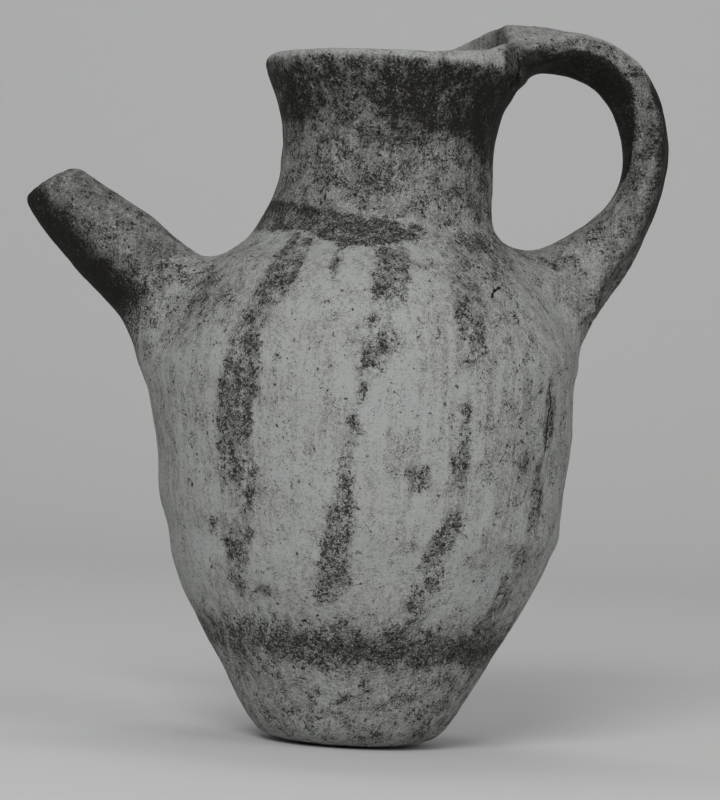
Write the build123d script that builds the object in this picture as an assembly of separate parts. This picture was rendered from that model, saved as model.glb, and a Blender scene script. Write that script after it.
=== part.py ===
from build123d import *
import os
from math import cos, radians, sin

# A hand-built spouted jug. The potter made it from separate pieces of clay: a base, four
# rings of wall, a lip, a tube for the spout and a strap for the handle, each one luted to
# the next with soft clay. Millimetres, +Z up, the spout on -X and the handle on +X. The
# origin is the middle of the flat patch that the jug stands on.

# Body heights, each a stretch of its own from the floor up
belly_height = 117.0
shoulder_height = 67.0
neck_height = 60.5

# Body radii, all on the outside
standing_radius = 18.0
heel_radius = 33.5
belly_radius = 75.3
neck_foot_radius = 43.4
throat_radius = 37.6
lip_radius = 45.6

# Clay thickness
wall_thickness = 6.0
floor_thickness = 8.5

# The blunt heel and the rounded lip
heel_height = 4.4
lip_width = 5.4
lip_outer_drop = 3.4
lip_inner_drop = 1.8

# The spout: a tapering tube over a hole in the shoulder
spout_elevation = 41.0
spout_length = 63.5
spout_root_radius = 18.6
spout_tip_radius = 11.2
spout_wall = 4.4
spout_hole_radius = 9.5
spout_mouth_bevel = 21.5

# The handle: an oval strap from the lip, over and down to the shoulder
handle_azimuth = 9.0
handle_rise = 15.0
handle_span = 42.4
handle_thickness = 15.0
handle_width = 23.0
handle_root_elevation = 43.0

# The tenon at the strap's lower end, and the clay pressed round it inside the jug
tenon_radius = 7.0
tenon_overhang = 2.4
wad_radius = 13.5
wad_thickness = 4.0

# Soft clay smeared round the joints: how far it runs up the tube or the strap, and how far
# it spreads over the wall
spout_collar_reach = 15.0
spout_collar_spread = 7.0
handle_collar_reach = 13.0
handle_collar_spread = 8.0

# The saddle of clay that ties the strap to the lip, measured along the lip from the strap
saddle_near_reach = 34.0
saddle_far_reach = 41.0
saddle_edge = 1.2
saddle_inset = 0.7

# How far a cutting shape runs past what it cuts
overrun = 3.0

# Profile of the outside between the named sizes, as shares of height and of radius
heel_bulge_shares = (0.32, 0.62)
wall_foot_shares = (0.045, 0.10)
lower_wall_shares = ((0.29, 0.47), (0.54, 0.795), (0.79, 0.952))
shoulder_shares = ((0.33, 0.955), (0.55, 0.80), (0.76, 0.49), (0.91, 0.17))
neck_foot_shares = ((0.10, 0.50), (0.22, 0.15))
throat_share = 0.38
neck_flare_shares = ((0.60, 0.14), (0.78, 0.40), (0.90, 0.74))

# Where each ring of wall begins, as a share of its stretch, and how its seam rises inwards
base_seam_share = 0.12
belly_seam_share = 0.58
shoulder_seam_share = 0.16
neck_seam_share = 0.06
rim_seam_share = 0.76
seam_slope_shares = (0.50, 0.45, 0.30, -0.45, 0.30)

# Places along the outside curve where the inside follows it
inside_place_shares = (0.13, 0.22, 0.32, 0.42, 0.50, 0.58, 0.65, 0.71, 0.77, 0.82, 0.87, 0.93)
inside_floor_share = 0.85

# Where the spout and the handle meet the shoulder
spout_root_share = 0.537
handle_root_share = 0.685

# The hollow flare of a collar, from its upper edge down: shares of its reach, then of its
# spread. It runs on past the wall, which trims it.
flare_shares = ((1.0, 0.14), (0.4, 0.22), (-0.33, 0.92), (-1.13, 1.77), (-1.7, 2.37))

# The spout's side: a share of its length, then of its taper
spout_side_shares = ((0.0, 0.0), (0.33, 0.22), (0.67, 0.55), (1.0, 1.0))

# The strap's centre line. The first rows run from the lip to the outermost point, the last
# from there to the root: shares across and up, then of the strap's thickness and width.
strap_upper_shares = (
    (0.00, 0.960, 1.42, 1.48),
    (0.17, 0.985, 1.14, 1.25),
    (0.37, 1.000, 1.00, 1.06),
    (0.61, 0.972, 1.00, 1.00),
    (0.83, 0.885, 1.00, 1.00),
    (0.96, 0.745, 1.04, 0.98),
    (1.00, 0.570, 1.07, 0.97),
)
strap_lower_shares = (
    (0.92, 0.400, 1.08, 0.98),
    (0.74, 0.270, 1.20, 1.04),
)
strap_root_shares = (1.50, 1.15)

# The saddle's upper edge on either side of the strap: shares of its reach and of its rise
saddle_near_shares = ((1.0, 0.0), (0.76, 0.12), (0.54, 0.36), (0.30, 0.76))
saddle_far_shares = ((0.37, 0.94), (0.57, 0.82), (0.80, 0.50), (1.0, 0.0))
saddle_top_share = 0.92

neck_foot_height = belly_height + shoulder_height
mouth_height = neck_foot_height + neck_height


def between(low, high, share):
    """The size that lies this share of the way from one size to another."""
    return low + (high - low) * share


def stretch(foot, head, shares):
    """Points between two (radius, height) points, from rows of height and radius shares."""
    return [(between(foot[0], head[0], r), between(foot[1], head[1], h)) for h, r in shares]


def outside_points():
    """The (radius, height) points of the jug's outside, from the floor to the lip's edge."""
    standing = (standing_radius, 0)
    heel = (heel_radius, heel_height)
    belly = (belly_radius, belly_height)
    neck_foot = (neck_foot_radius, neck_foot_height)
    throat = (throat_radius, between(neck_foot_height, mouth_height, throat_share))
    lip_edge = (lip_radius, mouth_height - lip_outer_drop)
    above_belly = [(1 - h, r) for h, r in shoulder_shares]
    above_foot = [(1 - h / throat_share, r) for h, r in neck_foot_shares]
    flare = [((h - throat_share) / (1 - throat_share), r) for h, r in neck_flare_shares]
    return [
        standing,
        *stretch(standing, heel, (heel_bulge_shares,)),
        heel,
        *stretch(heel, belly, (wall_foot_shares, *lower_wall_shares)),
        belly,
        *stretch(neck_foot, belly, above_belly),
        neck_foot,
        *stretch(throat, neck_foot, above_foot),
        throat,
        *stretch(throat, lip_edge, flare),
        lip_edge,
    ]


def upright(points):
    """Stands (radius, height) points up in the XZ plane."""
    return [Vector(radius, 0, height) for radius, height in points]


def outside_curve():
    """The outside of the jug, from the standing patch up to the widest part of the lip."""
    return Spline(*upright(outside_points()))


def place_at_height(height):
    """How far along the outside curve it reaches this height."""
    curve = outside_curve()
    low = 0.0
    high = 1.0
    for _ in range(40):
        middle = (low + high) / 2
        if (curve @ middle).Z < height:
            low = middle
        else:
            high = middle
    return (low + high) / 2


def wall_radius(height):
    """The outside radius of the body at a height."""
    return (outside_curve() @ place_at_height(height)).X


def inside_curve():
    """The inside of the jug, from the floor up to the inner edge of the lip."""
    outside = outside_curve()
    points = [Vector(standing_radius * inside_floor_share, 0, floor_thickness)]
    for share in inside_place_shares:
        along = outside % share
        points.append(outside @ share + Vector(-along.Z, 0, along.X) * wall_thickness)
    points.append(Vector(lip_radius - lip_width, 0, mouth_height - lip_inner_drop))
    return Spline(*points)


def crown_curve():
    """The rounded top of the lip, from its outer edge over to its inner edge."""
    outer = Vector(lip_radius, 0, mouth_height - lip_outer_drop)
    top = Vector(lip_radius - lip_width / 2, 0, mouth_height)
    inner = Vector(lip_radius - lip_width, 0, mouth_height - lip_inner_drop)
    return ThreePointArc(outer, top, inner)


def turned(edges):
    """Turns a closed outline in the XZ plane about the Z axis."""
    return revolve(make_face(edges), Axis.Z)


def filled_body():
    """The jug as if it were solid clay, to cut what leans on its outside."""
    outside = outside_curve()
    crown = crown_curve()
    rest = Polyline(crown @ 1, (0, 0, (crown @ 1).Z), (0, 0, 0), outside @ 0)
    return turned([outside, crown, rest])


def hollow():
    """The space inside the jug, as a solid."""
    inside = inside_curve()
    rest = Polyline(inside @ 1, (0, 0, (inside @ 1).Z), (0, 0, floor_thickness), inside @ 0)
    return turned([inside, rest])


def clay_section():
    """Half of the upright section through the wall, the floor and the lip."""
    outside = outside_curve()
    inside = inside_curve()
    rest = Polyline(inside @ 0, (0, 0, floor_thickness), (0, 0, 0), outside @ 0)
    return make_face([outside, crown_curve(), inside, rest])


def seam_heights():
    """Where each ring of wall begins on the outside, from the lower wall to the lip."""
    return (
        belly_height * base_seam_share,
        belly_height * belly_seam_share,
        between(belly_height, neck_foot_height, shoulder_seam_share),
        between(neck_foot_height, mouth_height, neck_seam_share),
        between(neck_foot_height, mouth_height, rim_seam_share),
    )


def seam_line(height, slope):
    """The two ends of a sloping seam: on the axis, and outside the body."""
    radius = wall_radius(height)
    reach = belly_radius + overrun
    return (0, height + slope * radius), (reach, height + slope * (radius - reach))


def ring_of_wall(index):
    """A ring of the body, from the base up: what lies between one seam and the next."""
    reach = belly_radius + overrun
    below = ((0, -overrun), (reach, -overrun))
    above = ((0, mouth_height + overrun), (reach, mouth_height + overrun))
    seams = [seam_line(h, s) for h, s in zip(seam_heights(), seam_slope_shares)]
    lines = [below, *seams, above]
    foot = lines[index]
    head = lines[index + 1]
    corners = upright((foot[0], foot[1], head[1], head[0]))
    band = make_face(Polyline(*corners, corners[0]))
    return revolve(clay_section() & band, Axis.Z)


def spout_root():
    """The plane where the spout's axis leaves the wall, looking out along the spout."""
    height = between(belly_height, neck_foot_height, spout_root_share)
    outward = (-cos(radians(spout_elevation)), 0, sin(radians(spout_elevation)))
    return Plane((-wall_radius(height), 0, height), x_dir=(0, 1, 0), z_dir=outward)


def spout_side(grow):
    """The tube's side, thicker or thinner by a size, running on at both ends."""
    start = flare_shares[-1][0] * spout_collar_reach
    end = spout_length + spout_root_radius
    points = [(spout_root_radius + grow, start)]
    for along, taper in spout_side_shares:
        radius = between(spout_root_radius, spout_tip_radius, taper)
        points.append((radius + grow, along * spout_length))
    points.append((spout_tip_radius + grow, end))
    return Spline(*upright(points))


def spout_solid(grow):
    """The tube as a filled solid, thicker or thinner by a size, with its mouth uncut."""
    side = spout_side(grow)
    rest = Polyline(side @ 1, (0, 0, (side @ 1).Z), (0, 0, (side @ 0).Z), side @ 0)
    return spout_root() * turned([side, rest])


def spout():
    """The spout: a tapering tube that butts on the shoulder, its mouth cut on a slant."""
    mouth = spout_root() * Pos(0, 0, spout_length) * Rot(spout_mouth_bevel, 0, 0)
    past_mouth = mouth * Pos(0, 0, spout_length / 2) * Box(spout_length, spout_length, spout_length)
    return spout_solid(0) - filled_body() - past_mouth - spout_solid(-spout_wall)


def spout_hole():
    """The hole pierced through the shoulder under the spout."""
    return spout_root() * Cylinder(spout_hole_radius, spout_length)


def flare_rows(reach, spread):
    """How far along its axis and how far out of it each ring of a collar's flare lies."""
    return [(reach * along, spread * out) for along, out in flare_shares]


def spout_collar():
    """The clay smeared over the joint between the spout and the shoulder."""
    points = []
    for along, out in flare_rows(spout_collar_reach, spout_collar_spread):
        taper = max(along, 0) / spout_length
        points.append((between(spout_root_radius, spout_tip_radius, taper) + out, along))
    side = Spline(*upright(points))
    rest = Polyline(side @ 1, (0, 0, (side @ 1).Z), (0, 0, (side @ 0).Z), side @ 0)
    flare = spout_root() * turned([side, rest])
    return flare - filled_body() - spout_solid(0)


def on_handle_side(shape):
    """Turns a shape or a place about the jug's axis to where the handle stands."""
    return Rot(0, 0, handle_azimuth) * shape


def handle_root():
    """Where the strap's axis meets the wall, looking out along it, before it is turned."""
    height = between(belly_height, neck_foot_height, handle_root_share)
    outward = (cos(radians(handle_root_elevation)), 0, sin(radians(handle_root_elevation)))
    return Plane((wall_radius(height), 0, height), x_dir=(0, 1, 0), z_dir=outward)


def strap_stations():
    """The strap's centre line from the lip to the root, each place with its two widths."""
    root = handle_root()
    start = lip_radius - lip_width
    half = handle_thickness / 2
    reach = root.origin.X + handle_span - half
    top = mouth_height + handle_rise - half
    rows = []
    for across, up, thick, wide in strap_upper_shares:
        rows.append((between(start, reach, across), up, thick, wide))
    for across, up, thick, wide in strap_lower_shares:
        rows.append((between(root.origin.X, reach, across), up, thick, wide))
    stations = []
    for radius, up, thick, wide in rows:
        place = Vector(radius, 0, between(root.origin.Z, top, up))
        stations.append((place, handle_thickness * thick, handle_width * wide))
    thick, wide = strap_root_shares
    for along in (handle_collar_reach, -handle_thickness):
        place = root.origin + root.z_dir * along
        stations.append((place, handle_thickness * thick, handle_width * wide))
    return stations


def strap():
    """The strap alone, running on into the body at its root."""
    stations = strap_stations()
    centre_line = Spline(*[place for place, _, _ in stations])
    sections = []
    for place, thickness, width in stations:
        along = centre_line.tangent_at(centre_line.param_at_point(place))
        square_on = Plane(place, x_dir=(0, 1, 0), z_dir=along)
        sections.append(square_on * Ellipse(width / 2, thickness / 2))
    return on_handle_side(loft(sections))


def tenon():
    """The peg that runs on from the strap, through the wall and the clay inside it."""
    inward = wall_thickness + wad_thickness + tenon_overhang
    outward = tenon_radius
    peg = Pos(0, 0, (outward - inward) / 2) * Cylinder(tenon_radius, outward + inward)
    return on_handle_side(handle_root() * peg)


def handle():
    """The handle: the strap, notched over the lip, with a tenon that goes through the wall."""
    return strap() - filled_body() + tenon()


def handle_wad():
    """The clay pressed round the tenon on the inside of the shoulder."""
    inward = wall_thickness + wad_thickness
    disc = handle_root() * Pos(0, 0, -inward / 2) * Cylinder(wad_radius, inward)
    return (on_handle_side(disc) & hollow()) - tenon()


def handle_collar():
    """The clay smeared over the joint between the strap and the shoulder."""
    thick, wide = strap_root_shares
    half_thick = handle_thickness * thick / 2
    half_wide = handle_width * wide / 2
    sections = []
    for along, out in flare_rows(handle_collar_reach, handle_collar_spread):
        place = handle_root() * Pos(0, 0, along)
        sections.append(place * Ellipse(half_wide + out, half_thick + out))
    return on_handle_side(loft(sections)) - filled_body() - strap()


def handle_saddle():
    """The web of clay on the lip that ties the strap to it on both sides."""
    low = mouth_height - lip_outer_drop
    high = mouth_height + handle_rise * saddle_top_share
    start = mouth_height + saddle_edge
    edge = [(-saddle_near_reach * out, between(start, high, up)) for out, up in saddle_near_shares]
    edge.append((0, high))
    edge += [(saddle_far_reach * out, between(start, high, up)) for out, up in saddle_far_shares]
    top = Spline(*[Vector(0, across, height) for across, height in edge])
    foot = Polyline(
        top @ 1,
        (0, saddle_far_reach, low),
        (0, -saddle_near_reach, low),
        top @ 0,
    )
    web = extrude(make_face([top, foot]), lip_radius, dir=(1, 0, 0))
    outer = Cylinder(lip_radius - saddle_inset, mouth_height + handle_rise)
    inner = Cylinder(lip_radius - lip_width + saddle_inset, mouth_height + handle_rise)
    crest = Pos(0, 0, (mouth_height + handle_rise) / 2) * (outer - inner)
    return on_handle_side(web & crest) - filled_body() - strap()


def main():
    """Makes every piece of clay and writes each one to its own file."""
    names = ("base", "lower_wall", "belly_wall", "shoulder", "neck", "rim")
    pieces = {name: ring_of_wall(number) for number, name in enumerate(names)}
    pieces["shoulder"] = pieces["shoulder"] - spout_hole() - tenon()
    pieces["spout"] = spout()
    pieces["spout_collar"] = spout_collar()
    pieces["handle"] = handle()
    pieces["handle_collar"] = handle_collar()
    pieces["handle_saddle"] = handle_saddle()
    pieces["handle_wad"] = handle_wad()
    os.makedirs("parts", exist_ok=True)
    for name, piece in pieces.items():
        export_step(piece, "parts/%s.step" % name)


if __name__ == "__main__":
    main()
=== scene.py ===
from math import cos, pi, radians, sin

import bmesh
import bpy
import numpy as np
from mathutils import Matrix, Vector


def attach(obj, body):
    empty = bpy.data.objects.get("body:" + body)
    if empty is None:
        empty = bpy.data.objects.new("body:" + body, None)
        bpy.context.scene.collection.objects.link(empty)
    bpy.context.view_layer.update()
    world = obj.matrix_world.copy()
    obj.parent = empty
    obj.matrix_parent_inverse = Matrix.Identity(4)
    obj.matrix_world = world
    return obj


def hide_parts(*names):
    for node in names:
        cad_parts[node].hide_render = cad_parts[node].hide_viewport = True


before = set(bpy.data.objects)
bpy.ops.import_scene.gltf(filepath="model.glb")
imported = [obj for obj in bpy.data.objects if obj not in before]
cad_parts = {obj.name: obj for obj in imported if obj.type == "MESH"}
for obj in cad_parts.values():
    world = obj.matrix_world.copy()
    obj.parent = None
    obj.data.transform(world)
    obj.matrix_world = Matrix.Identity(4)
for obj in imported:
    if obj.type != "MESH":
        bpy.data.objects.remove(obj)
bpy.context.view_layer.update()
MM = 0.001
print("nodes:", ", ".join(sorted(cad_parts)))

# %% [markdown]
# ## The view
# The camera stands 1.18 m in front of the jug at half its height, with a long lens, so the
# lip is seen from a little below. The jug stands straight on its base here, and the picture
# leans a few degrees to the right, so the camera is rolled the other way by the same angle.
# %% Camera
CAMERA_ROLL = radians(3.2)
CAMERA_DISTANCE = 1.18
VIEW_HEIGHT = 0.2876
VIEW_MIDDLE_RIGHT, VIEW_MIDDLE_UP = 0.00485, 0.12259
EYE_DROP = 0.0104
SENSOR_WIDTH = 36

picture_up = Vector((-sin(CAMERA_ROLL), 0, cos(CAMERA_ROLL)))
picture_right = Vector((cos(CAMERA_ROLL), 0, sin(CAMERA_ROLL)))
look_at = picture_right * VIEW_MIDDLE_RIGHT + picture_up * VIEW_MIDDLE_UP
eye = look_at + Vector((0, -CAMERA_DISTANCE, 0)) - picture_up * EYE_DROP


def add_object(name, data):
    """A new object in the scene, from a mesh, a lamp or a camera."""
    made = bpy.data.objects.new(name, data)
    bpy.context.scene.collection.objects.link(made)
    return made


lens = bpy.data.cameras.new("camera")
lens.sensor_width = SENSOR_WIDTH
lens.lens = SENSOR_WIDTH * CAMERA_DISTANCE / VIEW_HEIGHT
camera = add_object("camera", lens)
back = (eye - look_at).normalized()
side = picture_up.cross(back).normalized()
turn = Matrix((side, back.cross(side), back)).transposed().to_4x4()
camera.matrix_world = Matrix.Translation(eye) @ turn
bpy.context.scene.camera = camera
print("lens", round(lens.lens, 1), "mm, eye at", [round(v, 3) for v in eye])

# %% [markdown]
# ## The outline
# A potter's outline is one sweep of the hand. Here it is a short list of measured knots, each
# a radius and a height in millimetres, with a smooth curve drawn through them. The inside
# follows the outside a wall's thickness further in, so it has its own knots. A natural cubic
# spline through the knots bends as little as it can, which is what a thumb does too.
# %% Smooth curves through knots
def smooth_curve(knots, step=0.5):
    """Points about a step apart on the natural cubic spline through the knots."""
    knots = np.array(knots, float)
    run = np.concatenate([[0], np.cumsum(np.linalg.norm(np.diff(knots[:, :2], axis=0), axis=1))])
    gaps = np.diff(run)
    system = np.eye(len(run))
    right = np.zeros_like(knots)
    for i in range(1, len(run) - 1):
        system[i, i - 1 : i + 2] = gaps[i - 1], 2 * (gaps[i - 1] + gaps[i]), gaps[i]
        right[i] = 6 * ((knots[i + 1] - knots[i]) / gaps[i] - (knots[i] - knots[i - 1]) / gaps[i - 1])
    bend = np.linalg.solve(system, right)
    at = np.linspace(0, run[-1], int(run[-1] / step) + 2)
    i = np.clip(np.searchsorted(run, at) - 1, 0, len(run) - 2)
    past, ahead, gap = (at - run[i])[:, None], (run[i + 1] - at)[:, None], gaps[i][:, None]
    return (
        (bend[i] * ahead**3 + bend[i + 1] * past**3) / (6 * gap)
        + (knots[i] / gap - bend[i] * gap / 6) * ahead
        + (knots[i + 1] / gap - bend[i + 1] * gap / 6) * past
    )

# %% Knots of the outside and the inside
OUTSIDE = (
    (0, 0.0), (18, 0.0), (27.6, 1.4), (33.5, 4.4), (37.7, 9.5), (44.8, 22), (53.1, 37.1),
    (60.3, 50.0), (66.7, 65.2), (70.9, 80), (73.6, 97), (75.3, 113), (75.2, 126), (73.4, 140),
    (68.9, 153.8), (59.0, 167.9), (48.8, 178.0), (43.4, 184), (40.5, 190.1), (38.5, 197.3),
    (37.7, 207), (38.6, 219.1), (40.9, 229), (43.5, 235.6), (45.6, 241.1),
)
LIP = ((45.6, 241.1), (45.5, 242.7), (44.5, 244.0), (42.9, 244.5), (0, 244.5))
INSIDE = (
    (0, 8.5), (12, 8.9), (23, 11.0), (30.5, 15.0), (38.5, 23.5), (46.8, 37.6), (54.2, 52.5),
    (60.6, 67.6), (64.9, 81.9), (67.6, 98), (69.3, 114), (69.1, 125.6), (67.4, 139),
    (63.2, 151), (54.3, 163.5), (44.0, 173.9), (37.9, 181.4), (34.7, 188.2), (32.6, 196),
    (31.7, 206.5), (32.6, 220), (35.1, 231), (37.9, 238.4), (40.2, 243.2), (40.9, 250), (41, 290),
)

outside_line = np.vstack([smooth_curve(OUTSIDE), LIP[1:]])
inside_line = np.vstack([smooth_curve(INSIDE), [(0, 290)]])
print("outside line:", len(outside_line), "points; widest radius", round(outside_line[:, 0].max(), 1))

# %% [markdown]
# ## Clay as a distance
# Smeared joints are hard to model with separate surfaces, and easy with a distance: a number
# for every point in space, negative inside the clay and growing with the way to the surface.
# Two lumps of clay join with the smaller of their distances, and a rounded version of that
# rule leaves a fillet, like a thumb's stroke. The turned body's distance is worked out once
# on a flat sheet of radius and height and then looked up.
# %% Distance to a closed outline, on a sheet
SHEET_STEP = 0.75
SHEET_START, SHEET_RADIUS = -6, 135
SHEET_LOW, SHEET_HIGH = -20, 300


def outline_sheet(line):
    """Signed distance to a closed outline in (radius, height), on a regular sheet."""
    radii = np.arange(SHEET_START, SHEET_RADIUS, SHEET_STEP)
    heights = np.arange(SHEET_LOW, SHEET_HIGH, SHEET_STEP)
    across, up = [spots.ravel() for spots in np.meshgrid(radii, heights, indexing="ij")]
    nearest = np.full(len(up), np.inf)
    inside = np.zeros(len(up), bool)
    for (start_radius, start_height), (end_radius, end_height) in zip(line[:-1], line[1:]):
        run, rise = end_radius - start_radius, end_height - start_height
        out, over = across - start_radius, up - start_height
        share = np.clip((out * run + over * rise) / (run * run + rise * rise + 1e-12), 0, 1)
        nearest = np.minimum(nearest, (out - share * run) ** 2 + (over - share * rise) ** 2)
        if rise != 0:
            crosses = (start_height > up) != (end_height > up)
            inside ^= crosses & (out < run * over / rise)
    inside |= (across < 0) & (up > line[0, 1]) & (up < line[-1, 1])
    far = np.sqrt(nearest)
    return np.where(inside, -far, far).reshape(len(radii), len(heights)).astype(np.float32)


def look_up(sheet, across, up, low=(SHEET_START, SHEET_LOW), step=SHEET_STEP):
    """Bilinear reading of a sheet."""
    column = np.clip((across - low[0]) / step, 0, sheet.shape[0] - 1.001)
    row = np.clip((up - low[1]) / step, 0, sheet.shape[1] - 1.001)
    i, j = column.astype(int), row.astype(int)
    right, above = column - i, row - j
    return (
        sheet[i, j] * (1 - right) * (1 - above) + sheet[i + 1, j] * right * (1 - above)
        + sheet[i, j + 1] * (1 - right) * above + sheet[i + 1, j + 1] * right * above
    )


body_sheet = outline_sheet(outside_line)
hollow_sheet = outline_sheet(inside_line)
print("sheet:", body_sheet.shape, "deepest point of the body", round(float(body_sheet.min()), 1), "mm in")

# %% Joining and cutting with a rounded edge
def join(one, other, round_mm):
    """Both lumps, with a fillet between them."""
    overlap = np.maximum(round_mm - np.abs(one - other), 0) / round_mm
    return np.minimum(one, other) - overlap * overlap * round_mm / 4


def carve(one, other, round_mm):
    """The first lump without the second, with a rounded edge."""
    return -join(-one, other, round_mm)


def ease(value, start, end):
    """0 before start, 1 after end, and smooth between."""
    share = np.clip((value - start) / (end - start), 0, 1)
    return share * share * (3 - 2 * share)

# %% The neck's lean
NECK_SHIFT = 3.0
NECK_LEANS_FROM, NECK_LEANS_TO = 168, 202


def neck_lean(z):
    """How far towards the handle the wall's middle lies at a height."""
    return NECK_SHIFT * ease(z, NECK_LEANS_FROM, NECK_LEANS_TO)

# %% [markdown]
# ## Unevenness
# Nothing on the jug is quite round. Waves of random numbers on a lattice, blended smoothly
# between its points, give dents and swellings of any width. They are made from a fixed seed,
# so the jug is the same each time.
# %% Dents and swellings
LATTICE_SIZE, LATTICE_SEED = 32, 11
LATTICE = np.random.RandomState(LATTICE_SEED).rand(*[LATTICE_SIZE] * 3).astype(np.float32) * 2 - 1
CORNERS = np.stack(np.meshgrid((0, 1), (0, 1), (0, 1), indexing="ij"), -1).reshape(-1, 3)


def waves(spots, width, seed):
    """Smooth random waves from -1 to 1, about a width apart."""
    place = spots / width + np.array((3.7, 9.1, 5.3)) * seed
    first = np.floor(place).astype(int)
    share = (place - first).astype(np.float32)
    share = share * share * share * (share * (share * 6 - 15) + 10)
    total = 0
    for corner in CORNERS:
        weight = np.where(corner, share, 1 - share).prod(axis=1)
        total = total + weight * LATTICE[tuple(((first + corner) % LATTICE_SIZE).T)]
    return total


def unevenness(spots):
    """How far the hand-made surface stands proud of the drawn one, in millimetres."""
    broad = 0.75 * waves(spots, 34, 1) + 0.42 * waves(spots, 15, 2)
    return broad + 0.2 * waves(spots, 6.5, 3) + 0.13 * waves(spots, 3.7, 4)

# %% [markdown]
# ## The spout and the strap
# The spout is a tapering tube that rises at 41 degrees and sags by less than a millimetre on the
# way. The strap is an oval section swept along a flat curve that stands 9 degrees off the jug's
# middle plane. The potter's fingers pressed two long flat faces into its near side, one below
# and one on top, so each place on the curve also says how much of the section both faces take.
# For any point, the nearest place on the curve is looked up on a sheet.
# %% Spout
SPOUT_ROOT = np.array((-69.6, 0, 153.0))
SPOUT_UP = radians(41)
SPOUT_AXIS = np.array((-cos(SPOUT_UP), 0, sin(SPOUT_UP)))
SPOUT_OVER = np.array((sin(SPOUT_UP), 0, cos(SPOUT_UP)))
SPOUT_SIDE = (
    (-30, 22.2), (-15, 20.6), (0, 19.1), (16, 17.4), (32, 16.3), (44, 14.9), (57, 12.7), (66, 11.1),
    (80, 9.4),
)
SPOUT_SAG = ((-30, 0), (0, 0.3), (10, 0.5), (20, 0.3), (32, 0), (44, -0.4), (56, -0.7), (66, 0), (80, 0))
SPOUT_BORE = ((-40, 9.5), (0, 9.5), (20, 9.8), (45, 8.2), (64, 6.8), (90, 6.8))
MOUTH_CUT = radians(35)
MOUTH_MIDDLE = np.array((-117.1, 0, 196.8))
MOUTH_EDGE = 5.0


def spout_parts(spots):
    """Distances to the spout's outside, with its slanted mouth, and to its bore."""
    from_root = spots - SPOUT_ROOT
    along = from_root @ SPOUT_AXIS
    over = from_root @ SPOUT_OVER - np.interp(along, *zip(*SPOUT_SAG))
    across = np.sqrt(over**2 + from_root[:, 1] ** 2)
    side = np.maximum((across - np.interp(along, *zip(*SPOUT_SIDE))) * 0.99, -32 - along)
    mouth = (spots - MOUTH_MIDDLE) @ np.array((-sin(MOUTH_CUT), 0, cos(MOUTH_CUT)))
    tube = -join(-side, -mouth, MOUTH_EDGE)
    bore = np.maximum(across - np.interp(along, *zip(*SPOUT_BORE)), -22 - along)
    return tube, bore, over / np.maximum(across, 1)

# %% Strap
STRAP_TURN = radians(9)
STRAP_ALONG = np.array((cos(STRAP_TURN), sin(STRAP_TURN), 0))
STRAP_ACROSS = np.array((-sin(STRAP_TURN), cos(STRAP_TURN), 0))
STRAP = (
    (36, 247, 19, 34, 0.05, 0.42), (43, 251.4, 19.6, 31.5, 0.08, 0.45),
    (52, 253.4, 18.8, 27.5, 0.10, 0.52), (63, 253.6, 17.3, 24.4, 0.28, 0.72),
    (76, 250.8, 16.3, 23, 0.42, 0.95), (89.2, 242.5, 17.6, 22.6, 0.32, 0.86),
    (96.3, 230.8, 17.8, 22.5, 0.12, 0.74), (99.4, 216.5, 17.8, 22.3, -0.02, 0.66),
    (97.1, 202, 17.1, 22.6, -0.12, 0.62), (89.7, 187.4, 21.7, 24, -0.15, 0.64),
    (83.5, 179.5, 25.8, 25.6, -0.15, 0.68), (77.2, 172.8, 29.8, 28, -0.15, 0.76),
    (70.7, 166.7, 33.8, 31, -0.15, 0.90), (61, 158, 38, 34, -0.15, 1.10),
)
STRAP_SHEET_LOW, STRAP_SHEET_HIGH = (10, 130), (125, 275)
SQUARENESS = 2.3
CREASE_ROUND = 1.5


def strap_sheets():
    """At places in the strap's plane: the way out and away from its middle line, half sizes, two shares."""
    line = smooth_curve(STRAP, 0.8)
    ways = [np.arange(low, high, 1.0) for low, high in zip(STRAP_SHEET_LOW, STRAP_SHEET_HIGH)]
    spots = np.stack(np.meshgrid(*ways, indexing="ij"), -1).reshape(-1, 2)
    away = np.linalg.norm(spots[:, None] - line[None, :, :2], axis=2)
    nearest = away.argmin(axis=1)
    way = np.gradient(line[:, :2], axis=0)[nearest]
    gap = spots - line[nearest, :2]
    outward = np.sign(way[:, 0] * gap[:, 1] - way[:, 1] * gap[:, 0])
    away = away[np.arange(len(spots)), nearest]
    thick, wide, under, over = line[nearest, 2:].T
    sheets = [away * outward, away, thick / 2, wide / 2, under, over]
    return [sheet.reshape([len(way) for way in ways]).astype(np.float32) for sheet in sheets]


strap_reading = strap_sheets()


def strap_part(spots):
    """Distance to the strap, the way out from its middle line, and the depth under both faces."""
    rho = spots @ STRAP_ALONG
    across = spots @ STRAP_ACROSS
    z = spots[:, 2]
    readings = [look_up(sheet, rho, z, STRAP_SHEET_LOW, 1.0) for sheet in strap_reading]
    out, away, thick, wide, under, over = readings
    away = away + np.maximum(STRAP_SHEET_LOW[1] - z, 0) + np.maximum(STRAP_SHEET_LOW[0] - rho, 0)
    flat, broad = away / thick, np.abs(across) / wide
    level = (flat**SQUARENESS + broad**SQUARENESS) ** (1 / SQUARENESS)
    slope = np.hypot(flat ** (SQUARENESS - 1) / thick, broad ** (SQUARENESS - 1) / wide)
    strap = (level - 1) * level ** (SQUARENESS - 1) / np.maximum(slope, 0.02)
    depths = []
    for share, edge, turn in ((under, 1.0, -1.0), (1 - over, 5.0, 1.0)):
        run, rise = 0.93 * wide + edge, 2 * thick * share
        face = ((out - turn * thick) * run * turn - (across - edge) * rise) / np.hypot(run, rise)
        strap = -join(-strap, -face, CREASE_ROUND)
        depths.append(-face)
    return strap, out, depths


print("strap's middle line spans", STRAP[0][:2], "to", STRAP[-1][:2])

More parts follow.
